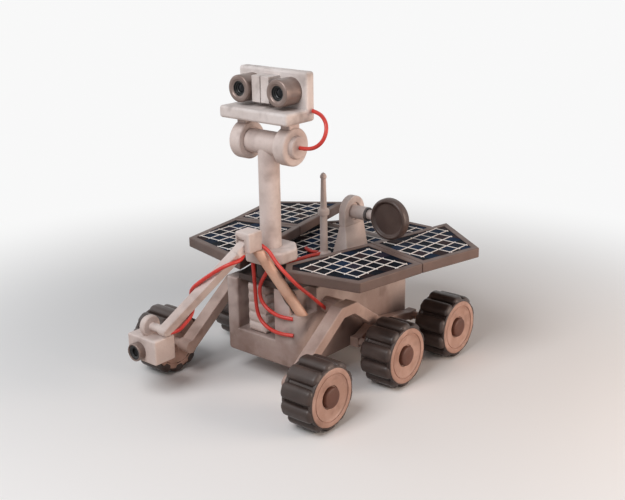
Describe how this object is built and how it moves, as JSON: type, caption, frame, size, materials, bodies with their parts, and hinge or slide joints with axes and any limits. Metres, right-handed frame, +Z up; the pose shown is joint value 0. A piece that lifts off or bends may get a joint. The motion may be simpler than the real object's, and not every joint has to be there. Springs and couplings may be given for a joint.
{
  "type": "planetary rover prototype",
  "caption": "Rolling planetary rover with rocker and bogie legs, raised solar wings, a camera mast, two antennas and a jointed instrument arm at the front.",
  "frame": {"origin": "on the floor, midway along the length and on the middle plane", "axes": "-Y is the front, +X is the right side, +Z is up"},
  "size_m": [1.3808, 1.732, 1.499],
  "materials": {
    "hull_paint": "matt warm off-white paint",
    "panel_frame": "matt warm grey paint",
    "solar_cell": "dark blue cells with pale lines",
    "leg_paint": "matt pinkish grey paint",
    "camera_metal": "dark anodised",
    "lens_glass": "gloss black",
    "dish_paint": "matt dark brown paint",
    "strut_paint": "satin tan",
    "tyre_rubber": "matt dark brown",
    "wheel_paint": "matt pinkish paint",
    "cable_jacket": "satin red"
  },
  "bodies": {
    "chassis": {"arm_strut": "strut_paint", "bogie_left": "leg_paint", "bogie_right": "leg_paint", "centre_deck": "panel_frame", "deck_cable": "cable_jacket", "deck_lead": "cable_jacket", "dish_foot": "hull_paint", "elbow_block": "hull_paint", "equipment_block": "hull_paint", "hull": "hull_paint", "mast_base": "hull_paint", "rear_panel": "panel_frame", "recess_cable_long": "cable_jacket", "recess_cable_short": "cable_jacket", "rocker_left": "leg_paint", "rocker_right": "leg_paint", "rod_antenna": "hull_paint", "side_cable": "cable_jacket", "solar_cells": "solar_cell", "wing_left_front": "panel_frame", "wing_left_rear": "panel_frame", "wing_right_front": "panel_frame", "wing_right_rear": "panel_frame", "wing_risers": "panel_frame"},
    "mast": {"mast_post": "hull_paint"},
    "head": {"head_plate": "hull_paint", "head_collars": "hull_paint", "camera_barrels": "camera_metal", "camera_lenses": "lens_glass", "sensor_boxes": "hull_paint", "head_cable": "cable_jacket"},
    "dish_antenna": {"dish_shaft": "hull_paint", "dish": "dish_paint"},
    "forearm": {"forearm": "hull_paint", "arm_cable": "cable_jacket"},
    "wrist": {"wrist_disc": "hull_paint", "instrument_box": "hull_paint", "instrument_lens": "camera_metal"},
    "wheel_right_front": {"tyre_right_front": "tyre_rubber", "wheel_right_front": "wheel_paint"},
    "wheel_right_middle": {"tyre_right_middle": "tyre_rubber", "wheel_right_middle": "wheel_paint"},
    "wheel_right_rear": {"tyre_right_rear": "tyre_rubber", "wheel_right_rear": "wheel_paint"},
    "wheel_left_front": {"tyre_left_front": "tyre_rubber", "wheel_left_front": "wheel_paint"},
    "wheel_left_middle": {"tyre_left_middle": "tyre_rubber", "wheel_left_middle": "wheel_paint"},
    "wheel_left_rear": {"tyre_left_rear": "tyre_rubber", "wheel_left_rear": "wheel_paint"}
  },
  "joints": [
    {"name": "mast_pan", "type": "hinge", "parent": "chassis", "child": "mast", "pos_m": [0, -0.257, 0.675], "axis": [0, 0, 1], "range_deg": [-160, 160]},
    {"name": "head_tilt", "type": "hinge", "parent": "mast", "child": "head", "pos_m": [0, -0.257, 1.168], "axis": [1, 0, 0], "range_deg": [-40, 45]},
    {"name": "dish_elevation", "type": "hinge", "parent": "chassis", "child": "dish_antenna", "pos_m": [0.097, 0.259, 0.742], "axis": [1, 0, 0], "range_deg": [-60, 30]},
    {"name": "arm_elbow", "type": "hinge", "parent": "chassis", "child": "forearm", "pos_m": [0.019, -0.451, 0.735], "axis": [1, 0, 0], "range_deg": [-35, 5]},
    {"name": "arm_wrist", "type": "hinge", "parent": "forearm", "child": "wrist", "pos_m": [-0.302, -0.767, 0.358], "axis": [1, 0, 0], "range_deg": [-80, 20]},
    {"name": "axle_right_front", "type": "hinge", "parent": "chassis", "child": "wheel_right_front", "pos_m": [0.49, -0.513, 0.162], "axis": [1, 0, 0], "continuous": true},
    {"name": "axle_right_middle", "type": "hinge", "parent": "chassis", "child": "wheel_right_middle", "pos_m": [0.49, 0.05, 0.162], "axis": [1, 0, 0], "continuous": true},
    {"name": "axle_right_rear", "type": "hinge", "parent": "chassis", "child": "wheel_right_rear", "pos_m": [0.49, 0.5, 0.162], "axis": [1, 0, 0], "continuous": true},
    {"name": "axle_left_front", "type": "hinge", "parent": "chassis", "child": "wheel_left_front", "pos_m": [-0.49, -0.513, 0.162], "axis": [1, 0, 0], "continuous": true},
    {"name": "axle_left_middle", "type": "hinge", "parent": "chassis", "child": "wheel_left_middle", "pos_m": [-0.49, 0.05, 0.162], "axis": [1, 0, 0], "continuous": true},
    {"name": "axle_left_rear", "type": "hinge", "parent": "chassis", "child": "wheel_left_rear", "pos_m": [-0.49, 0.5, 0.162], "axis": [1, 0, 0], "continuous": true}
  ]
}
